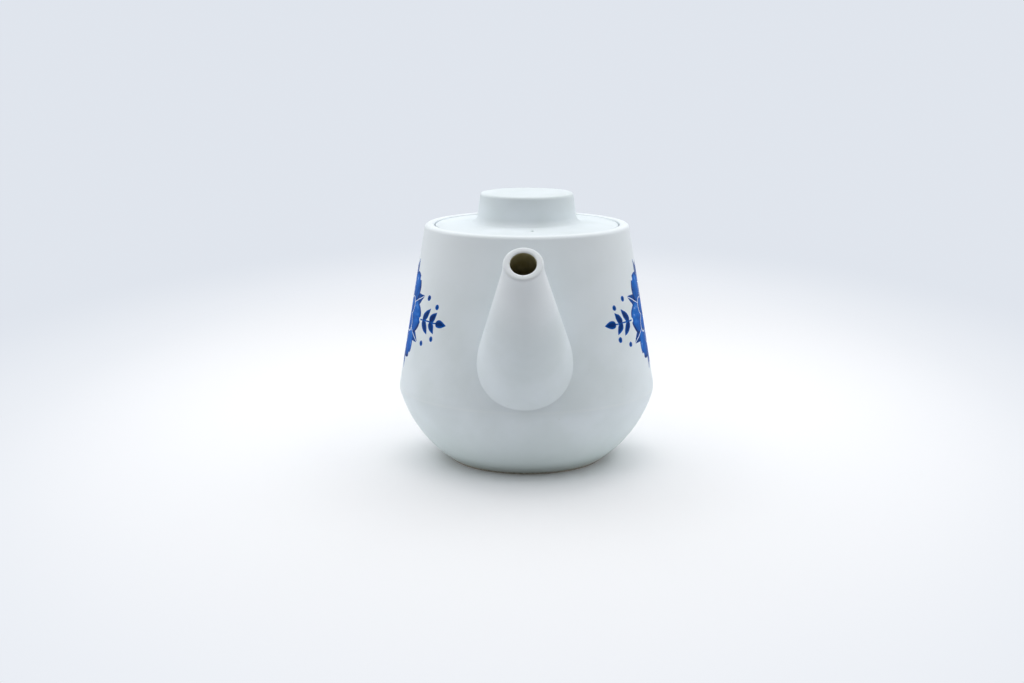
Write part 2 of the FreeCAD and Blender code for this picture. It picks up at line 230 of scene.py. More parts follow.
def toward(start, end, distance):
    """The point at a distance from start in the direction of end."""
    return start + (end - start).normalized() * distance


def straight(start, end):
    """Points of a straight run from start, which isn't among them, to end."""
    return even_steps(start, end, max(1, math.ceil((end - start).length / RUN_STEP)))


def curve(start, pull, end, steps):
    """Points of a curve from start, which isn't among them, to end, drawn towards pull."""
    points = []
    for step in range(1, steps + 1):
        share = step / steps
        points.append(start.lerp(pull, share).lerp(pull.lerp(end, share), share))
    return points


def arc_angles(first, last):
    """Angles in degrees from first to last, a few degrees apart."""
    steps = max(2, math.ceil(abs(last - first) / ARC_STEP))
    return [first + (last - first) * step / steps for step in range(steps + 1)]


class Outline:
    """Points of a turned outline in the (radius, height) plane."""

    def __init__(self, radius, height):
        self.points = [Vector((radius, height))]

    def line(self, radius, height):
        self.points += straight(self.points[-1], Vector((radius, height)))
        return self

    def arc(self, centre, radius, first, last):
        """A straight run to an arc round centre, then the arc between two angles in degrees."""
        points = [Vector(centre) + Vector(polar(angle)) * radius for angle in arc_angles(first, last)]
        self.line(*points[0])
        self.points += points[1:]
        return self

    def through(self, middle, last):
        """A smooth run past a middle point to a last one."""
        start, middle, last = self.points[-1], Vector(middle), Vector(last)
        pull = middle * 2 - (start + last) / 2
        self.points += curve(start, pull, last, math.ceil((last - start).length / RUN_STEP))
        return self

    def corner(self, radius, height, setback, after):
        """A straight run to a rounded corner, on the way to the point after it."""
        point = Vector((radius, height))
        first = toward(point, self.points[-1], setback)
        last = toward(point, Vector(after), setback)
        self.line(*first)
        self.points += curve(first, point, last, CORNER_STEPS)
        return self


def smooth_shading(piece):
    """Smooth shading, with edges over a limit kept sharp."""
    piece.data.shade_smooth()
    piece.data.set_sharp_from_angle(angle=math.radians(SHARP_EDGE))
    return piece


def new_piece(name, points, faces):
    """A mesh object from points in millimetres."""
    mesh = bpy.data.meshes.new(name)
    mesh.from_pydata([Vector(point) * MM for point in points], [], faces)
    shell = bmesh.new()
    shell.from_mesh(mesh)
    bmesh.ops.recalc_face_normals(shell, faces=shell.faces)
    shell.to_mesh(mesh)
    shell.free()
    piece = bpy.data.objects.new(name, mesh)
    bpy.context.scene.collection.objects.link(piece)
    return smooth_shading(piece)


def turned(name, outline, closed=False):
    """An outline turned about the pot's axis. A closed one is a ring, an open one ends on the axis."""
    points, rows = [], []
    for radius, height in outline.points:
        count = TURN_SEGMENTS if radius > ON_AXIS else 1
        rows.append(range(len(points), len(points) + count))
        for index in range(count):
            level, side = polar(360 * index / TURN_SEGMENTS)
            points.append((radius * level, radius * side, height))
    pairs = list(zip(rows, rows[1:]))
    if closed:
        pairs.append((rows[-1], rows[0]))
    faces = []
    for low, high in pairs:
        for index in range(TURN_SEGMENTS):
            ahead = (index + 1) % TURN_SEGMENTS
            corners = [low[index % len(low)], low[ahead % len(low)]]
            corners += [high[ahead % len(high)], high[index % len(high)]]
            faces.append(list(dict.fromkeys(corners)))
    return new_piece(name, points, faces)


def tube(name, rings, closed=False):
    """Quads between rings of points. A closed tube joins its last ring to its first."""
    size = len(rings[0])
    points = [point for ring in rings for point in ring]
    faces = []
    for row in range(len(rings) if closed else len(rings) - 1):
        low, high = row * size, (row + 1) % len(rings) * size
        for index in range(size):
            ahead = (index + 1) % size
            faces.append([low + index, low + ahead, high + ahead, high + index])
    if not closed:
        faces.append(list(range(size)))
        faces.append(list(range(len(points) - size, len(points))))
    return new_piece(name, points, faces)


def drill(piece, foot, direction, radius, depth, segments):
    """Cuts a round hole through a piece."""
    across = direction.orthogonal().normalized()
    other = direction.cross(across)
    rings = []
    for distance in (0, depth):
        turns = [polar(360 * index / segments) for index in range(segments)]
        centre = foot + direction * distance
        rings.append([centre + (across * level + other * side) * radius for level, side in turns])
    cutter = tube("drill", rings)
    cut = piece.modifiers.new("hole", "BOOLEAN")
    cut.object = cutter
    cut.solver = "EXACT"
    evaluated = piece.evaluated_get(bpy.context.evaluated_depsgraph_get())
    piece.data = bpy.data.meshes.new_from_object(evaluated)
    piece.modifiers.clear()
    bpy.data.objects.remove(cutter)
    return smooth_shading(piece)


# Where the spout starts on the wall and ends at its mouth, with the way up across each
ACROSS = Vector((1, 0, 0))
UP = Vector((0, 0, 1))
base_level, base_rise = polar(SPOUT_BASE_ANGLE)
base_up = Vector((0, base_rise, base_level))
spout_base = Vector((0, -cone_radius(SPOUT_BASE_HEIGHT), SPOUT_BASE_HEIGHT))
mouth_level, mouth_rise = polar(SPOUT_MOUTH_ANGLE)
mouth_up = Vector((0, mouth_rise, mouth_level))
spout_tip = Vector((0, -SPOUT_TIP_REACH, SPOUT_TIP_HEIGHT))

# Middle of the port on the wall's outer face, and the way out of it
wall_out = Vector((0, -wall_level, wall_rise))
port_centre = Vector((0, -cone_radius(PORT_HEIGHT), PORT_HEIGHT))


def above_wall(point):
    """How far a point lies outside the pot's outer face, measured level."""
    return math.hypot(point.x, point.y) - pot_radius(point.z)


def on_wall(point, sink=0.0):
    """A point moved level onto the pot's outer face, or a little below it."""
    share = (pot_radius(point.z) - sink) / math.hypot(point.x, point.y)
    return Vector((point.x * share, point.y * share, point.z))


def wall_hit(outside, inside):
    """Where the line between two points goes through the pot's outer face."""
    while (outside - inside).length > CROSSING_ACCURACY:
        middle = (outside + inside) / 2
        if above_wall(middle) > 0:
            outside = middle
        else:
            inside = middle
    return outside


def wall_normal(point):
    """Outward normal of the pot's outer face at a point on it."""
    above, below = pot_radius(point.z + SLOPE_STEP), pot_radius(point.z - SLOPE_STEP)
    slope = (above - below) / (2 * SLOPE_STEP)
    level = Vector((point.x, point.y, 0)).normalized()
    return (level - UP * slope).normalized()


def wall_join(outside, inside, centre, size):
    """A small fillet from a line that meets the wall, out over the wall, away from a centre."""
    hit = wall_hit(outside, inside)
    normal = wall_normal(hit)
    away = hit - centre
    away -= normal * away.dot(normal)
    start = toward(hit, outside, size)
    end = on_wall(hit + away.normalized() * size, SINK)
    return [start, *curve(start, hit, end, FILLET_STEPS)]


def draw_ledge(outline):
    """Draws the ledge for the lid, whose underside slopes out at 45 degrees to the wall."""
    bottom = LEDGE_HEIGHT - LEDGE_THICKNESS
    overhang = cone_radius(bottom, WALL) - LEDGE_RADIUS
    seam_height = bottom - overhang / (1 - wall_rise / wall_level)
    seam = (cone_radius(seam_height, WALL), seam_height)
    outline.corner(MOUTH_RADIUS, LEDGE_HEIGHT, EDGE_ROUND, (LEDGE_RADIUS, LEDGE_HEIGHT))
    outline.corner(LEDGE_RADIUS, LEDGE_HEIGHT, EDGE_ROUND, (LEDGE_RADIUS, bottom))
    outline.corner(LEDGE_RADIUS, bottom, EDGE_ROUND, seam)
    outline.corner(*seam, LEDGE_FOOT_ROUND, (cone_radius(shoulder_top, WALL), shoulder_top))


def pot_body():
    """Vessel with its bowl, conical wall, rim, lid ledge and the port behind the spout."""
    outline = Outline(0, FOOT_HEIGHT)
    outline.arc(bowl_centre, BOWL_RADIUS, -bowl_angle(FOOT_HEIGHT), -SHOULDER_TURN)
    outline.arc(shoulder_centre, SHOULDER_RADIUS, -SHOULDER_TURN, WALL_ANGLE)

    outer_lip = edge_centre(RIM_RADIUS, RIM_HEIGHT, WALL_ANGLE, LIP_OUTER_ROUND)
    inner_lip = (MOUTH_RADIUS + LIP_INNER_ROUND, RIM_HEIGHT - LIP_INNER_ROUND)
    outline.arc(outer_lip, LIP_OUTER_ROUND, WALL_ANGLE, 90)
    outline.arc(inner_lip, LIP_INNER_ROUND, 90, 180)

    draw_ledge(outline)
    floor_height = FOOT_HEIGHT + FLOOR
    fillet_centre, fillet_turn = bowl_fillet(WALL, floor_height, FLOOR_FILLET)
    outline.arc(shoulder_centre, SHOULDER_RADIUS - WALL, WALL_ANGLE, -SHOULDER_TURN)
    outline.arc(bowl_centre, BOWL_RADIUS - WALL, -SHOULDER_TURN, -fillet_turn)
    outline.arc(fillet_centre, FLOOR_FILLET, -fillet_turn, -90)
    outline.line(0, floor_height)
    body = turned("porcelain_body", outline)

    # The drill starts inside the pot and ends outside it, both well clear of the wall
    port_foot = port_centre - wall_out * PORT_RADIUS
    return drill(body, port_foot, wall_out, PORT_RADIUS, 2 * PORT_RADIUS, PORT_SEGMENTS)


def foot_ring():
    """Ring under the floor, flush with the bowl outside down to a small step."""
    step_turn = bowl_angle(FOOT_STEP)
    step_radius = bowl_centre[0] + BOWL_RADIUS * polar(step_turn)[0] - FOOT_INSET
    outer_centre = (step_radius - FOOT_OUTER_ROUND, FOOT_OUTER_ROUND)
    inner_centre = (FOOT_INNER_RADIUS + FOOT_INNER_ROUND, FOOT_INNER_ROUND)
    outline = Outline(FOOT_INNER_RADIUS, FOOT_HEIGHT)
    outline.arc(bowl_centre, BOWL_RADIUS, -bowl_angle(FOOT_HEIGHT), -step_turn)
    outline.line(step_radius, FOOT_STEP)
    outline.arc(outer_centre, FOOT_OUTER_ROUND, 0, -90)
    outline.arc(inner_centre, FOOT_INNER_ROUND, -90, -180)
    return turned("porcelain_foot", outline, closed=True)


def spout_point(share, angle, base_radius, end_radius):
    """A point of one of the spout's cones: share 0 is on the base's circle and 1 on the mouth's."""
    rest = 1 - share
    up = (base_up * (base_radius * rest) + mouth_up * (end_radius * share)).normalized()
    level, rise = polar(angle)
    radius = base_radius * rest + end_radius * share
    return spout_base * rest + spout_tip * share + (ACROSS * level + up * rise) * radius


def spout_corners(angle):
    """Points at an angle round the spout: root, neck and edge outside, then edge and root of the bore."""
    neck_share = 1 - SPOUT_LIP
    cone_end_radius = SPOUT_BASE_RADIUS + (SPOUT_TIP_RADIUS - SPOUT_BASE_RADIUS) / neck_share
    bore_base_radius = SPOUT_BASE_RADIUS - SPOUT_WALL
    root = spout_point(-SPOUT_ROOT, angle, SPOUT_BASE_RADIUS, cone_end_radius)
    neck = spout_point(neck_share, angle, SPOUT_BASE_RADIUS, cone_end_radius)
    edge = spout_point(1, angle, SPOUT_BASE_RADIUS, SPOUT_TIP_RADIUS)
    bore_edge = spout_point(1, angle, bore_base_radius, SPOUT_BORE_RADIUS)
    bore_root = spout_point(-SPOUT_ROOT, angle, bore_base_radius, SPOUT_BORE_RADIUS)
    return root, neck, edge, bore_edge, bore_root


def spout_strip(angle):
    """Three runs of points at an angle round the spout: up its outer face, over its lip, down its bore."""
    root, neck, edge, bore_edge, bore_root = spout_corners(angle)
    setback = SPOUT_LIP_ROUND * ARC_SETBACK
    inward = (spout_tip - edge).normalized() * setback
    neck_foot = toward(neck, root, SPOUT_NECK_ROUND)
    neck_top = toward(neck, edge, SPOUT_NECK_ROUND)
    lip_start = toward(edge, neck, setback)
    bore_start = toward(bore_edge, bore_root, setback)
    bore_end = wall_hit(bore_edge, bore_root)

    join = wall_join(neck, root, spout_base, SPOUT_JOIN)
    outer = join[::-1] + even_steps(join[0], neck_foot, SPOUT_STEPS)
    outer += curve(neck_foot, neck, neck_top, FILLET_STEPS) + [lip_start]
    lip = curve(lip_start, edge, edge + inward, FILLET_STEPS) + [bore_edge - inward]
    lip += curve(bore_edge - inward, bore_edge, bore_start, FILLET_STEPS)
    bore = even_steps(bore_start, bore_end, BORE_STEPS) + [on_wall(bore_end, SINK)]
    return outer, lip, bore


def spout():
    """Hollow cone with a straight, rounded lip and a small fillet where it is joined to the wall."""
    strips = [spout_strip(360 * index / SPOUT_SEGMENTS) for index in range(SPOUT_SEGMENTS)]
    rings = [list(ring) for ring in zip(*(outer + lip + bore for outer, lip, bore in strips))]
    piece = tube("porcelain_spout", rings, closed=True)

    # Vertices of the bore are marked, from halfway round its edge, because tea stains it
    bore_rings = len(strips[0][-1]) + FILLET_STEPS // 2
    marks = piece.data.attributes.new("bore", "FLOAT", "POINT")
    for index in range((len(rings) - bore_rings) * SPOUT_SEGMENTS, len(piece.data.vertices)):
        marks.data[index].value = 1.0
    return piece


def handle_path():
    """Points along the handle's centreline, from inside the wall at its top to inside it at its foot."""

    def way(angle):
        level, up = polar(angle)
        return Vector((0, level, up))

    def bend(centre, radius, first, last):
        return [centre + way(angle) * radius for angle in arc_angles(first, last)]

    top = Vector((0, cone_radius(HANDLE_TOP_HEIGHT) - HANDLE_ROOT, HANDLE_TOP_HEIGHT))
    foot = Vector((0, cone_radius(HANDLE_FOOT_HEIGHT) - HANDLE_ROOT, HANDLE_FOOT_HEIGHT))

    # The top bend touches the run out of the wall, and its far side sets the handle's reach
    over_top = way(90 + HANDLE_TOP_RISE)
    bend_reach = HANDLE_REACH - HANDLE_THICKNESS / 2 - HANDLE_TOP_BEND
    run_out = (bend_reach - top.y + HANDLE_TOP_BEND * over_top.y) / polar(HANDLE_TOP_RISE)[0]
    upper = top + way(HANDLE_TOP_RISE) * run_out - over_top * HANDLE_TOP_BEND

    # The foot bend touches the leaning grip and the run back to the wall
    grip = upper + way(-HANDLE_LEAN) * (HANDLE_TOP_BEND - HANDLE_FOOT_BEND)
    down_grip = way(-90 - HANDLE_LEAN)
    above_foot = way(90 - HANDLE_FOOT_FALL)
    travel = (HANDLE_FOOT_BEND - (grip - foot).dot(above_foot)) / down_grip.dot(above_foot)
    lower = grip + down_grip * travel

    first_bend = bend(upper, HANDLE_TOP_BEND, 90 + HANDLE_TOP_RISE, -HANDLE_LEAN)
    second_bend = bend(lower, HANDLE_FOOT_BEND, -HANDLE_LEAN, -90 - HANDLE_FOOT_FALL)
    points = [top] + straight(top, first_bend[0]) + first_bend[1:]
    points += straight(first_bend[-1], second_bend[0]) + second_bend[1:]
    return points + straight(second_bend[-1], foot)


def handle_sections(path):
    """Ovals along the centreline, flared at both ends."""
    lengths = [0.0]
    for before, after in zip(path, path[1:]):
        lengths.append(lengths[-1] + (after - before).length)
    turns = [polar(360 * index / HANDLE_SEGMENTS) for index in range(HANDLE_SEGMENTS)]
    sections = []
    for index, point in enumerate(path):
        share = lengths[index] / lengths[-1]
        along = path[min(index + 1, len(path) - 1)] - path[max(index - 1, 0)]
        to_end = min(lengths[index], lengths[-1] - lengths[index])
        flare = HANDLE_FLARE * max(0, 1 - to_end / HANDLE_FLARE_LENGTH) ** 2
        half_width = (HANDLE_TOP_WIDTH * (1 - share) + HANDLE_FOOT_WIDTH * share) / 2
        side = ACROSS * (half_width + flare)
        back = ACROSS.cross(along).normalized() * (HANDLE_THICKNESS / 2 + flare)
        sections.append([point + side * level + back * rise for level, rise in turns])
    return sections


def handle():
    """Ear handle with a small fillet at the wall at both ends."""
    path = handle_path()
    sections = handle_sections(path)
    clear = [section for section in sections if min(map(above_wall, section)) > HANDLE_JOIN]

    def end_rings(outer, inner, centre):
        joins = [wall_join(*pair, centre, HANDLE_JOIN) for pair in zip(outer, inner)]
        return [list(ring) for ring in zip(*joins)]

    top_rings = end_rings(clear[0], sections[0], path[0])
    foot_rings = end_rings(clear[-1], sections[-1], path[-1])
    return tube("porcelain_handle", top_rings[::-1] + clear + foot_rings)


def lid_disc():
    """Crowned disc that rests on the ledge, with its vent."""
    opening = KNOB_BASE_RADIUS - KNOB_WALL
    edge_top = LEDGE_HEIGHT + LID_EDGE
    lid_top = edge_top + LID_CROWN
    boss_foot = KNOB_BASE_RADIUS + KNOB_FILLET * polar(KNOB_LEAN)[0]
    crown_middle = ((LID_RADIUS + boss_foot) / 2, edge_top + LID_CROWN / 2 + LID_BULGE)
    outline = Outline(opening, lid_top - LID_DISC)
    outline.line(COLLAR_RADIUS - COLLAR_WALL, LEDGE_HEIGHT)
    outline.corner(LID_RADIUS, LEDGE_HEIGHT, EDGE_ROUND, (LID_RADIUS, edge_top))
    outline.arc(edge_centre(LID_RADIUS, edge_top, 0, LID_EDGE_ROUND), LID_EDGE_ROUND, 0, 90)
    outline.through(crown_middle, (boss_foot, lid_top))
    outline.arc((boss_foot, lid_top + KNOB_FILLET), KNOB_FILLET, -90, KNOB_LEAN - 180)
    outline.line(opening, KNOB_SEAM_HEIGHT)
    disc = turned("porcelain_lid", outline, closed=True)

    # The drill starts below the disc and ends above it
    side, back = polar(VENT_AZIMUTH - 90)
    vent_foot = Vector((VENT_CIRCLE * side, VENT_CIRCLE * back, LEDGE_HEIGHT - LID_EDGE))
    return drill(disc, vent_foot, UP, VENT_RADIUS, 4 * LID_EDGE, VENT_SEGMENTS)


def lid_collar():
    """Ring under the lid that hangs inside the ledge."""
    inner = COLLAR_RADIUS - COLLAR_WALL
    toe_round = (COLLAR_WALL - COLLAR_TAPER) / 2
    outline = Outline(inner, LEDGE_HEIGHT)
    outline.line(COLLAR_RADIUS, LEDGE_HEIGHT)
    outline.arc((inner + toe_round, COLLAR_BOTTOM + toe_round), toe_round, 0, -180)
    return turned("porcelain_collar", outline, closed=True)


def lid_knob():
    """Hollow knob, an upturned cup."""
    top_centre = edge_centre(KNOB_TOP_RADIUS, KNOB_TOP_HEIGHT, KNOB_LEAN, KNOB_EDGE_ROUND)
    ceiling = KNOB_TOP_HEIGHT - KNOB_TOP
    ceiling_radius = KNOB_TOP_RADIUS - KNOB_WALL
    ceiling_centre = (ceiling_radius - KNOB_CEILING_ROUND, ceiling - KNOB_CEILING_ROUND)
    outline = Outline(0, ceiling)
    outline.arc(ceiling_centre, KNOB_CEILING_ROUND, 90, 0)
    outline.line(KNOB_BASE_RADIUS - KNOB_WALL, KNOB_SEAM_HEIGHT)
    outline.line(KNOB_BASE_RADIUS, KNOB_SEAM_HEIGHT)
    outline.arc(top_centre, KNOB_EDGE_ROUND, KNOB_LEAN, 90)
    outline.line(0, KNOB_TOP_HEIGHT)
    return turned("porcelain_knob", outline)


class Field:
    """A number that varies over a surface: a node's output that formulas can be written with."""

    def __init__(self, tree, socket):
        self.tree = tree
        self.socket = socket

    def maths(self, operation, *others):
        node = self.tree.nodes.new("ShaderNodeMath")
        node.operation = operation
        for slot, value in zip(node.inputs, (self, *others)):
            connect(self.tree, value, slot)
        return Field(self.tree, node.outputs[0])

    def __add__(self, other):
        return self.maths("ADD", other)

    def __sub__(self, other):
        return self.maths("SUBTRACT", other)

    def __mul__(self, other):
        return self.maths("MULTIPLY", other)

    def __neg__(self):
        return self * -1

    def __abs__(self):
        return self.maths("ABSOLUTE")

    def root(self):
        return self.maths("SQRT")

    def most(self, other):
        return self.maths("MAXIMUM", other)

    def spread(self, low, high):
        """A share turned into a number between low and high."""
        return self * (high - low) + low

    def fade(self, start, end):
        """0 at start, going smoothly to 1 at end."""
        node = self.tree.nodes.new("ShaderNodeMapRange")
        node.interpolation_type = "SMOOTHSTEP"
        connect(self.tree, self, node.inputs["Value"])
        node.inputs["From Min"].default_value = start
        node.inputs["From Max"].default_value = end
        return Field(self.tree, node.outputs["Result"])

    def under(self, mask, tone):
        """This field with a tone painted over it where the mask is 1."""
        return self + (-self + tone) * mask


def connect(tree, value, slot):
    """Joins a field to a socket, or sets the socket to a number."""
    if isinstance(value, Field):
        tree.links.new(value.socket, slot)
    else:
        slot.default_value = value


# Sockets of a node that mixes colours: the two colours and the result
FIRST_COLOUR, SECOND_COLOUR = 6, 7
MIXED_COLOUR = 2


def colour_mix(tree, share, first, second):
    """A second colour laid over a first one by a share."""
    node = tree.nodes.new("ShaderNodeMix")
    node.data_type = "RGBA"
    connect(tree, share, node.inputs["Factor"])
    for index, colour in ((FIRST_COLOUR, first), (SECOND_COLOUR, second)):
        if isinstance(colour, tuple):
            node.inputs[index].default_value = (*colour, 1.0)
        else:
            tree.links.new(colour, node.inputs[index])
    return node.outputs[MIXED_COLOUR]


def length_of(first, second):
    """Length of a vector with two parts."""
    return (first * first + second * second).root()


class Paint:
    """A material under construction: its node tree, its shader and the place on the piece."""

    def __init__(self, name):
        self.material = bpy.data.materials.new(name)
        self.material.use_nodes = True
        self.tree = self.material.node_tree
        self.shader = self.tree.nodes["Principled BSDF"]
        coordinates = self.tree.nodes.new("ShaderNodeTexCoord")
        split = self.tree.nodes.new("ShaderNodeSeparateXYZ")
        self.tree.links.new(coordinates.outputs["Object"], split.inputs[0])
        self.place = [Field(self.tree, output) * (1 / MM) for output in split.outputs]

    def noise(self, size, detail=2.0, place=None):
        """Smooth noise from 0 to 1 with features of a size in millimetres."""
        join = self.tree.nodes.new("ShaderNodeCombineXYZ")
        for slot, value in zip(join.inputs, place or self.place):
            connect(self.tree, value, slot)
        texture = self.tree.nodes.new("ShaderNodeTexNoise")
        texture.inputs["Scale"].default_value = 1 / size
        texture.inputs["Detail"].default_value = detail
        self.tree.links.new(join.outputs[0], texture.inputs["Vector"])
        return Field(self.tree, texture.outputs["Fac"])

    def ramp(self, value, stops):
        """A colour for each value, from pairs of position and colour."""
        node = self.tree.nodes.new("ShaderNodeValToRGB")
        elements = node.color_ramp.elements
        while len(elements) < len(stops):
            elements.new(1.0)
        for element, (position, colour) in zip(elements, stops):
            element.position = position
            element.color = (*colour, 1.0)
        connect(self.tree, value, node.inputs["Fac"])
        return node.outputs["Color"]

    def mixed(self, share, first, second):
        """A second colour laid over a first one by a share."""
        return colour_mix(self.tree, share, first, second)

    def attribute(self, name):
        """A number stored on the piece's vertices."""
        node = self.tree.nodes.new("ShaderNodeAttribute")
        node.attribute_name = name
        return Field(self.tree, node.outputs["Fac"])

    def surface(self, colour, roughness, height, bump_strength, bump_depth):
        """Sets the shader's colour, roughness and bump."""
        self.tree.links.new(colour, self.shader.inputs["Base Color"])
        connect(self.tree, roughness, self.shader.inputs["Roughness"])
        bump = self.tree.nodes.new("ShaderNodeBump")
        bump.inputs["Strength"].default_value = bump_strength
        bump.inputs["Distance"].default_value = bump_depth * MM
        connect(self.tree, height, bump.inputs["Height"])
        self.tree.links.new(bump.outputs["Normal"], self.shader.inputs["Normal"])
        return self.material


# Colours of clay, glaze and tea, and of painted light and shade
GLAZE = (0.805, 0.873, 0.915)
# Colour of thicker glaze in its clouds, and of painted shade on the bowl
THICK_GLAZE_AND_SHADE = (0.615, 0.692, 0.68)
# Whiter colour of painted light, near the rim and the spout's lip
PAINTED_LIGHT_GLAZE = (0.905, 0.957, 0.995)
# Painted highlight along the shoulder's widest ring
SPECK = (0.50, 0.48, 0.44)
SHOULDER_HIGHLIGHT = (0.86, 0.91, 0.92)
TEA_STAIN = (0.38, 0.33, 0.13)
FOOT_SHADE = (0.34, 0.37, 0.33)  # painted shade on the glaze above the foot
# Bare clay of the foot, darkened as painted shade under its step
SHADED_BISQUE = (0.46, 0.43, 0.38)
SHADED_BISQUE_DUST = (0.26, 0.24, 0.20)

# Glaze: sizes and distances in millimetres, and the share by which a colour shows
CLOUD_SIZE = 24.0
CLOUD_NOISE = (0.35, 0.7)  # noise at which clouds start and at which they are full
CLOUD_SHARE = 0.25
SPECK_SIZE = 1.4
SPECK_NOISE = (0.86, 0.9)
SPECK_SHARE = 0.25
LIP_LIGHT_RUN = (50.0, 12.0)  # below the mouth: where the painted light starts and where it is strongest
# Painted light on the wall: how far below the rim it starts, and its share
RIM_LIGHT_RUN = 70.0
RIM_LIGHT_SHARE = 0.6
# Painted shade on the bowl: the height where it starts, and its share
BOWL_SHADE_RUN = 34.0
BOWL_SHADE_SHARE = 0.85
# Painted shade above the foot: the height where it starts, and its share
FOOT_SHADE_RUN = 9.0
FOOT_SHADE_SHARE = 0.6
SHOULDER_HIGHLIGHT_EDGE = (0.9, 0.3)  # from the shoulder's widest ring: where the painted highlight starts and where it is full
SHOULDER_HIGHLIGHT_SHARE = 0.2
BORE_STAIN_SIZE = 5.0
BORE_STAIN_SHARES = (0.72, 1.02)
FILM_STAIN_SIZE = 4.0
FILM_STAIN_SHARES = (0.35, 0.85)

# Satin surface: its gloss, the light that enters the clay, its roughness and its unevenness
GLOSS = 0.02  # low, because the glaze is nearly matt
INNER_LIGHT_SHARE = 0.08
INNER_LIGHT_TINT = (1.0, 1.0, 0.9)
INNER_LIGHT_DEPTH = 2.0
SATIN_ROUGHNESS = (0.4, 0.5)
SATIN_PATCH_SIZE = 9.0
WAVE_SIZE = 14.0
WAVE_SHARE = 0.85
RIPPLE_SIZE = 1.1
RIPPLE_SHARE = 0.15
SATIN_BUMP = (0.12, 0.25)  # strength, and depth in millimetres

# Foot: the wavy line where its glaze ends, and the bare clay below it, darkened as painted shade
GLAZE_LINE_SIZE = 6.0
GLAZE_LINE_WAVE = 0.3
GLAZE_LINE_WIDTH = 0.2
CLAY_GRAIN_SIZE = 0.9
CLAY_STOPS = [(0.3, SHADED_BISQUE_DUST), (0.7, SHADED_BISQUE)]
CLAY_ROUGHNESS = 0.9
FOOT_GLAZE_ROUGHNESS = 0.38
CLAY_BUMP_SIZE = 0.7
CLAY_BUMP = (0.2, 0.2)  # strength, and depth in millimetres

# Cobalt: its colours by strength, and the strength over which it covers the white
INK_PALE = (0.05, 0.25, 0.72)
INK_COBALT = (0.004, 0.125, 0.54)
INK_DEEP = (0.002, 0.025, 0.15)
INK_STOPS = [(0.05, INK_PALE), (0.38, INK_COBALT), (1.0, INK_DEEP)]
INK_COVER = (0.02, 0.22)

# The brush: its unsteady hand, its soft edge, and the streaks and washes that it leaves
BRUSH_WOBBLE = 0.9
SIDE_WOBBLE_SIZE = 4.0
LIFT_WOBBLE_SIZE = 5.0
BRUSH_EDGE = 0.3
STREAKS_PER_RADIAN = 7.0
STREAKS_PER_MM = 0.12  # along the stroke, where a streak changes little
WASH_SIZE = 7.0
NOISE_MIDDLE = 0.5  # what noise comes to on the average
STROKE_SWELL = 2.6  # brings the widest place of a comma stroke to its stated width

# Flower, in millimetres from its middle. An oval has a middle, a half length and a half width
FLOWER_HEIGHT = 76.0
PETALS = 8
HALF_PETAL = math.pi / PETALS
LEAF_TIP = 31.0
LEAF_SLOPE = 0.42  # half width of a pointed leaf for each millimetre below its tip
LEAF_VEIN = (0.15, 0.4)  # half widths of its white vein, before and after its soft edge
PETAL_OVAL = (17.0, 11.0, 8.8)
PETAL_EDGE = (1.02, 0.98)
PETAL_GAP = (0.1, 0.45)
NOTCH_OVAL = (28.6, 2.0, 1.5)
NOTCH_EDGE = (0.9, 1.1)
INNER_OVAL = (10.2, 6.2, 4.3)
INNER_EDGE = (1.02, 0.96)
INNER_BORDER = (1.16, 1.1)
HEART_RINGS = [(5.3, 0.0), (4.2, 0.85), (2.0, 0.2)]  # radius and tone, each over the last

# Strength of the cobalt, 0 for bare white and 1 for the deepest, and what adds to it
LEAF_TONE = 0.8
LEAF_WASH = 0.5
PETAL_TONE = 0.45
PETAL_RIM = (0.8, 0.98)
PETAL_RIM_TONE = 0.45
PETAL_ROOT = (18.0, 9.0)
PETAL_ROOT_TONE = 0.35
PETAL_SIDE_TONE = 0.03  # for each millimetre to one side
PETAL_STREAKS = 0.9
PETAL_WASH = 0.3
INNER_TONE = 0.4
INNER_RIM = (0.6, 1.0)
INNER_RIM_TONE = 0.4
INNER_SIDE_TONE = 0.05
INNER_STREAKS = 0.6
TWIG_TONE = 0.55
TWIG_CORE = (0.3, 1.4)
TWIG_CORE_TONE = 0.4
TWIG_WASH = 0.5

# Leafy twig on each side of the flower, in millimetres along it from the flower's middle
STEM_MIDDLE = 36.0
STEM_HALF_LENGTH = 8.0
STEM_HALF_WIDTH = 0.45
TWIG_LEAVES = [(31.0, 9.0), (37.5, 7.5)]  # start along the stem and length of each pair
TWIG_TIP_LEAF = (42.5, 8.0)
TWIG_LEAF_ANGLE = 48.0
TWIG_LEAF_WIDTH = 2.1
BERRIES = [(33.5, 11.5), (41.5, 8.0)]  # along the stem and away from it
BERRY_RADIUS = 1.5


def glaze_colour(paint):
    """White glaze: faint clouds where it is thicker, and a few fine pale specks."""
    clouds = paint.noise(CLOUD_SIZE, detail=3.0).fade(*CLOUD_NOISE)
    specks = paint.noise(SPECK_SIZE, detail=0.0).fade(*SPECK_NOISE)
    white = paint.mixed(clouds * CLOUD_SHARE, GLAZE, THICK_GLAZE_AND_SHADE)
    return paint.mixed(specks * SPECK_SHARE, white, SPECK)


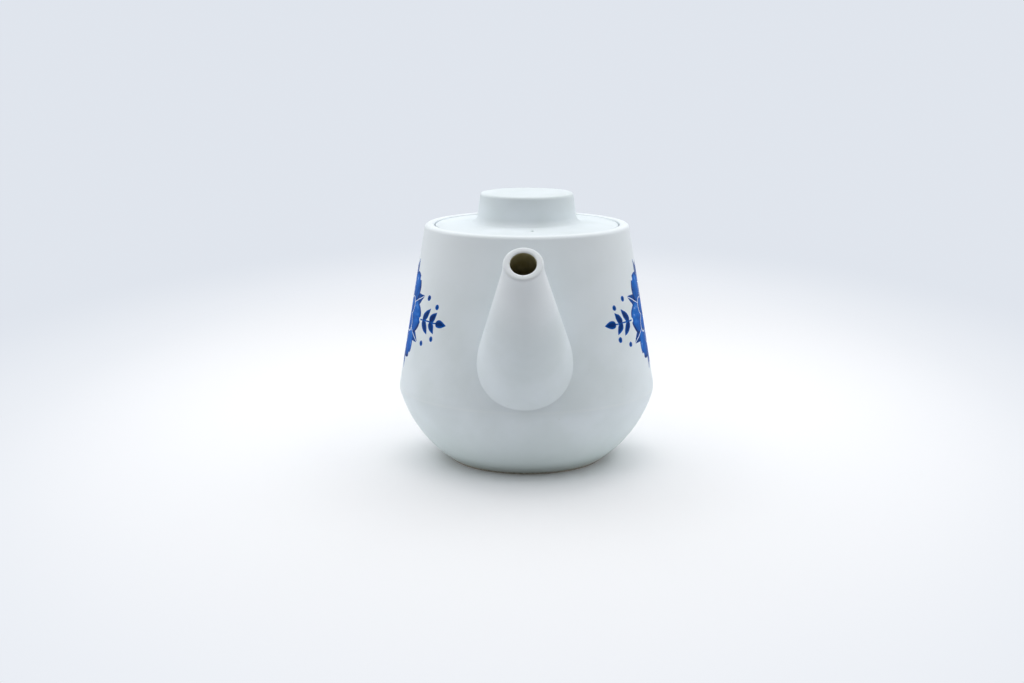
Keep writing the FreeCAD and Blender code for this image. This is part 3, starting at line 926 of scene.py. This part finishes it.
def pot_glaze(paint):
    """White glaze, with painted light that whitens it towards the rim, and painted shade that darkens the
    bowl towards the foot and the glaze just above the foot.
    """
    height = paint.place[2]
    # Painted light: whiter towards the rim
    rim_light = height.fade(RIM_HEIGHT - RIM_LIGHT_RUN, RIM_HEIGHT)
    # Painted shade: darker towards the bottom of the bowl
    bowl_shade = height.fade(BOWL_SHADE_RUN, 0)
    white = paint.mixed(rim_light * RIM_LIGHT_SHARE, glaze_colour(paint), PAINTED_LIGHT_GLAZE)
    white = paint.mixed(bowl_shade * BOWL_SHADE_SHARE, white, THICK_GLAZE_AND_SHADE)
    # Painted shade: darker still just above the foot
    return paint.mixed(height.fade(FOOT_SHADE_RUN, 0) * FOOT_SHADE_SHARE, white, FOOT_SHADE)


def satin(paint, colour):
    """Satin gloss, with the slight unevenness of a cast and glazed wall."""
    paint.shader.inputs["Specular IOR Level"].default_value = GLOSS
    paint.shader.inputs["Subsurface Weight"].default_value = INNER_LIGHT_SHARE
    paint.shader.inputs["Subsurface Radius"].default_value = INNER_LIGHT_TINT
    paint.shader.inputs["Subsurface Scale"].default_value = INNER_LIGHT_DEPTH * MM
    roughness = paint.noise(SATIN_PATCH_SIZE, detail=3.0).spread(*SATIN_ROUGHNESS)
    waves = paint.noise(WAVE_SIZE, detail=1.0) * WAVE_SHARE
    ripples = paint.noise(RIPPLE_SIZE, detail=1.0) * RIPPLE_SHARE
    return paint.surface(colour, roughness, waves + ripples, *SATIN_BUMP)


def white_glaze(name):
    """Plain satin glaze."""
    paint = Paint(name)
    return satin(paint, glaze_colour(paint))


def spout_glaze():
    """Satin glaze with painted light that whitens it near the lip, and the bore stained by tea."""
    paint = Paint("spout_glaze")
    out = (paint.place[1] - spout_tip.y) * -mouth_level + (paint.place[2] - spout_tip.z) * mouth_rise
    # Painted light: whiter towards the lip
    white = paint.mixed((-out).fade(*LIP_LIGHT_RUN), glaze_colour(paint), PAINTED_LIGHT_GLAZE)
    tea = paint.noise(BORE_STAIN_SIZE, detail=3.0).spread(*BORE_STAIN_SHARES)
    stain = paint.attribute("bore") * tea
    return satin(paint, paint.mixed(stain, white, TEA_STAIN))


def stained_glaze():
    """Satin glaze under a film of tea."""
    paint = Paint("stained_glaze")
    stain = paint.noise(FILM_STAIN_SIZE, detail=3.0).spread(*FILM_STAIN_SHARES)
    return satin(paint, paint.mixed(stain, glaze_colour(paint), TEA_STAIN))


def bisque():
    """Bare, ground clay where the foot stands, darkened as painted shade, and glaze above a slightly wavy
    line.
    """
    paint = Paint("bisque")
    line = paint.place[2] + paint.noise(GLAZE_LINE_SIZE) * GLAZE_LINE_WAVE
    glazed = line.fade(FOOT_STEP, FOOT_STEP + GLAZE_LINE_WIDTH)
    clay = paint.ramp(paint.noise(CLAY_GRAIN_SIZE, detail=3.0), CLAY_STOPS)
    colour = paint.mixed(glazed, clay, pot_glaze(paint))
    roughness = glazed.spread(CLAY_ROUGHNESS, FOOT_GLAZE_ROUGHNESS)
    return paint.surface(colour, roughness, paint.noise(CLAY_BUMP_SIZE), *CLAY_BUMP)


def oval(along, across, middle, half_length, half_width):
    """Distance from an oval's middle as a share of the way to its edge."""
    return length_of((along - middle) * (1 / half_length), across * (1 / half_width))


def stroke(side, lift, start, angle, length):
    """Depth inside one comma stroke of the brush, which starts round, swells and runs out to a point."""
    level, rise = polar(angle)
    along = (side - start) * level + lift * rise
    across = abs(lift * level - (side - start) * rise)
    share = (along * (1 / length)).most(0).maths("MINIMUM", 1)
    half_width = share.root() * (-share + 1) * (STROKE_SWELL * TWIG_LEAF_WIDTH)
    return half_width - across


def twig(side, lift):
    """Depth inside the leafy twig that grows out of the flower on both sides."""
    depth = -(lift - STEM_HALF_WIDTH).most(abs(side - STEM_MIDDLE) - STEM_HALF_LENGTH)
    for start, length in TWIG_LEAVES:
        depth = depth.most(stroke(side, lift, start, TWIG_LEAF_ANGLE, length))
    tip_start, tip_length = TWIG_TIP_LEAF
    depth = depth.most(stroke(side, lift, tip_start, 0, tip_length))
    for berry_side, berry_lift in BERRIES:
        depth = depth.most(-length_of(side - berry_side, lift - berry_lift) + BERRY_RADIUS)
    return depth


def unrolled_wall(paint):
    """Place on the unrolled wall, as an unsteady hand finds it, beside and above the flower's middle."""
    x, y, z = paint.place

    def unsteady(size):
        return (paint.noise(size) - NOISE_MIDDLE) * BRUSH_WOBBLE

    azimuth = abs(x).maths("ARCTAN2", -y)
    side = (azimuth - math.pi / 2) * length_of(x, y) + unsteady(SIDE_WOBBLE_SIZE)
    lift = (z - FLOWER_HEIGHT) * (1 / wall_level) + unsteady(LIFT_WOBBLE_SIZE)
    return side, lift


def petal_place(distance, turn, offset):
    """Place on the nearest of the petals that an offset turns: along it from the middle, and across it."""
    local = (turn + offset).maths("WRAP", HALF_PETAL, -HALF_PETAL)
    return distance * local.maths("COSINE"), distance * local.maths("SINE")


def pointed_leaves(along, across, wash):
    """Strength of the cobalt of the pointed leaves, which have a white vein."""
    edge = abs(across) + (along - LEAF_TIP) * LEAF_SLOPE
    leaf = edge.fade(BRUSH_EDGE, 0) * abs(across).fade(*LEAF_VEIN)
    return leaf * (wash * LEAF_WASH + LEAF_TONE)


def outer_petals(ink, along, across, streaks, wash):
    """The cobalt with notched petals painted over it, deeper at their rim and root."""
    edge = oval(along, across, *PETAL_OVAL)
    gap = along * math.tan(HALF_PETAL) - abs(across)
    notch = oval(along, across, *NOTCH_OVAL)
    petal = edge.fade(*PETAL_EDGE) * gap.fade(*PETAL_GAP) * notch.fade(*NOTCH_EDGE)
    tone = edge.fade(*PETAL_RIM) * PETAL_RIM_TONE + along.fade(*PETAL_ROOT) * PETAL_ROOT_TONE
    tone = tone + across * PETAL_SIDE_TONE
    tone = tone + streaks * PETAL_STREAKS + wash * PETAL_WASH + PETAL_TONE
    return ink.under(petal, tone)


def inner_petals(ink, along, across, streaks):
    """The cobalt with small petals painted over it, inside a white border."""
    edge = oval(along, across, *INNER_OVAL)
    tone = edge.fade(*INNER_RIM) * INNER_RIM_TONE + across * INNER_SIDE_TONE
    tone = tone + streaks * INNER_STREAKS + INNER_TONE
    ink = ink.under(edge.fade(*INNER_BORDER), 0.0)
    return ink.under(edge.fade(*INNER_EDGE), tone)


def brushwork(paint):
    """Strength of the cobalt, from 0 to 1: a round flower on each side of the pot, with two twigs."""
    side, lift = unrolled_wall(paint)
    distance = length_of(side, lift)
    turn = lift.maths("ARCTAN2", side)
    streak_place = (turn * STREAKS_PER_RADIAN, distance * STREAKS_PER_MM, 0.0)
    streaks = paint.noise(1.0, detail=3.0, place=streak_place) - NOISE_MIDDLE
    wash = paint.noise(WASH_SIZE) - NOISE_MIDDLE
    on_petal = petal_place(distance, turn, 0)
    between_petals = petal_place(distance, turn, HALF_PETAL)

    # Leaves, petals, the rings of the heart and the twigs, each painted over the last
    ink = pointed_leaves(*between_petals, wash)
    ink = outer_petals(ink, *on_petal, streaks, wash)
    ink = inner_petals(ink, *between_petals, streaks)
    for radius, tone in HEART_RINGS:
        ink = ink.under(distance.fade(radius, radius - BRUSH_EDGE), tone)
    depth = twig(abs(side), abs(lift))
    twig_tone = depth.fade(*TWIG_CORE) * TWIG_CORE_TONE + wash * TWIG_WASH + TWIG_TONE
    return ink.under(depth.fade(0, BRUSH_EDGE), twig_tone)


def decorated_glaze():
    """Satin glaze over cobalt brushwork, with a faint painted highlight along the shoulder's widest ring.
    """
    paint = Paint("decorated_glaze")
    x, y, height = paint.place
    # Painted highlight: a faint pale line along the shoulder's widest ring
    seam = abs(height - BELLY_HEIGHT).fade(*SHOULDER_HIGHLIGHT_EDGE) * SHOULDER_HIGHLIGHT_SHARE
    white = paint.mixed(seam, pot_glaze(paint), SHOULDER_HIGHLIGHT)

    # The brush reaches only the outer face, above the shoulder
    depth = (-height + RIM_HEIGHT) * (wall_rise / wall_level) - length_of(x, y) + RIM_RADIUS
    reached = depth.fade(WALL / 2, 0) * height.fade(shoulder_bottom, shoulder_top)
    ink = brushwork(paint) * reached
    cobalt = paint.ramp(ink, INK_STOPS)
    return satin(paint, paint.mixed(ink.fade(*INK_COVER), white, cobalt))


# Floor and backdrop: lit floor round the pot, which runs into an evenly bright distance
FLOOR_RADIUS = 6000.0
FLOOR_SEGMENTS = 96
FLOOR_COLOUR = (0.955, 0.965, 0.985)
FLOOR_UNLIT = (0.25, 0.255, 0.265)  # what it throws back where it fades
FLOOR_ROUGHNESS = 0.8
FLOOR_GLOSS = 0.2
FLOOR_FADE = (200.0, 480.0)  # from lit floor to distance
GLOW_FADE = (340.0, 700.0)  # from the near colour of the distance to its far one
FLOOR_CENTRE = 120.0  # how far behind the pot the floor is brightest
SIDEWAYS = 1.6  # how much faster the floor changes to the sides than to front and back
DISTANCE_NEAR = (0.88, 0.905, 0.95)
DISTANCE_FAR = (0.745, 0.785, 0.85)
AMBIENT = (0.004, 0.004, 0.004)

# Lamps: name, place and size in millimetres, and power in watts
LAMPS = [
    ("top_lamp", (0.0, 80.0, 900.0), (1800.0, 1100.0), 8.6),
    ("back_lamp", (0.0, 500.0, 800.0), (1400.0, 500.0), 3.1),
    ("front_lamp", (0.0, -450.0, 800.0), (1400.0, 500.0), 1.4),
    ("low_front_lamp", (0.0, -800.0, 250.0), (1400.0, 300.0), 0.56),
    ("left_lamp", (-600.0, 50.0, 130.0), (900.0, 240.0), 1.4),
    ("right_lamp", (600.0, 50.0, 130.0), (900.0, 240.0), 1.4),
]


def seen_directly(tree):
    """1 for what the camera sees or a glossy surface mirrors, 0 for light on the object."""
    path = tree.nodes.new("ShaderNodeLightPath")
    camera_ray, mirrored = path.outputs["Is Camera Ray"], path.outputs["Is Glossy Ray"]
    return Field(tree, camera_ray).most(Field(tree, mirrored))


def floor():
    """Plain pale floor."""
    turns = [polar(360 * index / FLOOR_SEGMENTS) for index in range(FLOOR_SEGMENTS)]
    points = [(FLOOR_RADIUS * level, FLOOR_RADIUS * side, 0) for level, side in turns]
    piece = new_piece("floor", points, [list(range(FLOOR_SEGMENTS))])
    paint = Paint("floor")
    tree = paint.tree
    paint.shader.inputs["Roughness"].default_value = FLOOR_ROUGHNESS
    paint.shader.inputs["Specular IOR Level"].default_value = FLOOR_GLOSS
    distance = length_of(paint.place[0] * SIDEWAYS, paint.place[1] - FLOOR_CENTRE)
    glow = tree.nodes.new("ShaderNodeEmission")
    seen = seen_directly(tree)
    dim = distance.fade(*FLOOR_FADE)
    lit = paint.mixed(dim * (-seen + 1), FLOOR_COLOUR, FLOOR_UNLIT)
    tree.links.new(lit, paint.shader.inputs["Base Color"])
    far_share = distance.fade(*GLOW_FADE)
    tree.links.new(paint.mixed(far_share, DISTANCE_NEAR, DISTANCE_FAR), glow.inputs["Color"])
    blend = tree.nodes.new("ShaderNodeMixShader")
    connect(tree, dim * seen, blend.inputs["Fac"])
    tree.links.new(paint.shader.outputs[0], blend.inputs[1])
    tree.links.new(glow.outputs[0], blend.inputs[2])
    tree.links.new(blend.outputs[0], tree.nodes["Material Output"].inputs["Surface"])
    piece.data.materials.append(paint.material)


def backdrop():
    """World: weak ambient light, and the floor's distance carried on above the horizon."""
    world = bpy.data.worlds.new("backdrop")
    world.use_nodes = True
    tree = world.node_tree
    colour = colour_mix(tree, seen_directly(tree), AMBIENT, DISTANCE_FAR)
    tree.links.new(colour, tree.nodes["Background"].inputs["Color"])
    bpy.context.scene.world = world


def area_lamp(name, place, size, power):
    """A soft lamp that faces the pot."""
    data = bpy.data.lights.new(name, "AREA")
    data.shape = "RECTANGLE"
    data.size, data.size_y = size[0] * MM, size[1] * MM
    data.energy = power
    lamp = bpy.data.objects.new(name, data)
    lamp.location = Vector(place) * MM
    aim = Vector((0, 0, BELLY_HEIGHT)) - Vector(place)
    lamp.rotation_euler = aim.to_track_quat("-Z", "Y").to_euler()
    bpy.context.scene.collection.objects.link(lamp)


# Camera at the photograph's viewing angle
IMAGE_WIDTH = 1024
FOCAL_PIXELS = 1564.0
SENSOR = 36.0
CAMERA_DISTANCE = 785.5
CAMERA_HEIGHT = 222.0
CAMERA_PITCH = 11.706  # degrees that it looks down
CAMERA_AZIMUTH = 0.8  # degrees from the spout's side towards +X
AXIS_OFFSET_PIXELS = 14.9  # how far right of the picture's middle the pot's axis is


def camera():
    """Camera in front of the spout, a little above the lid."""
    data = bpy.data.cameras.new("camera")
    data.sensor_width = SENSOR
    data.lens = FOCAL_PIXELS / IMAGE_WIDTH * SENSOR
    piece = bpy.data.objects.new("camera", data)
    side, front = polar(CAMERA_AZIMUTH - 90)
    level_place = Vector((side, front, 0)) * CAMERA_DISTANCE
    piece.location = (level_place + UP * CAMERA_HEIGHT) * MM
    yaw = math.radians(CAMERA_AZIMUTH) + math.atan(AXIS_OFFSET_PIXELS / FOCAL_PIXELS)
    piece.rotation_euler = (math.radians(90 - CAMERA_PITCH), 0, yaw)
    bpy.context.scene.collection.objects.link(piece)
    bpy.context.scene.camera = piece


def dress(piece, body, nodes, material):
    """Puts a piece on its body in place of nodes of the frame, with its material."""
    piece.data.materials.clear()
    piece.data.materials.append(material)
    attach(piece, body)
    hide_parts(*nodes)


pot_nodes = ["pot_bowl", "pot_wall", "pot_rim"]
handle_glaze = white_glaze("handle_glaze")
lid_glaze = white_glaze("lid_glaze")
dress(pot_body(), "pot", pot_nodes, decorated_glaze())
dress(foot_ring(), "pot", ["foot_ring"], bisque())
dress(spout(), "pot", ["spout"], spout_glaze())
dress(handle(), "pot", ["handle"], handle_glaze)
dress(lid_disc(), "lid", ["lid_disc"], lid_glaze)
dress(lid_collar(), "lid", ["lid_collar"], lid_glaze)
dress(lid_knob(), "lid", ["lid_knob"], lid_glaze)

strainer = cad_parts["spout_strainer"]
strainer.data.materials.clear()
strainer.data.materials.append(stained_glaze())

floor()
backdrop()
for lamp in LAMPS:
    area_lamp(*lamp)
camera()
bpy.context.scene.view_settings.view_transform = "Standard"
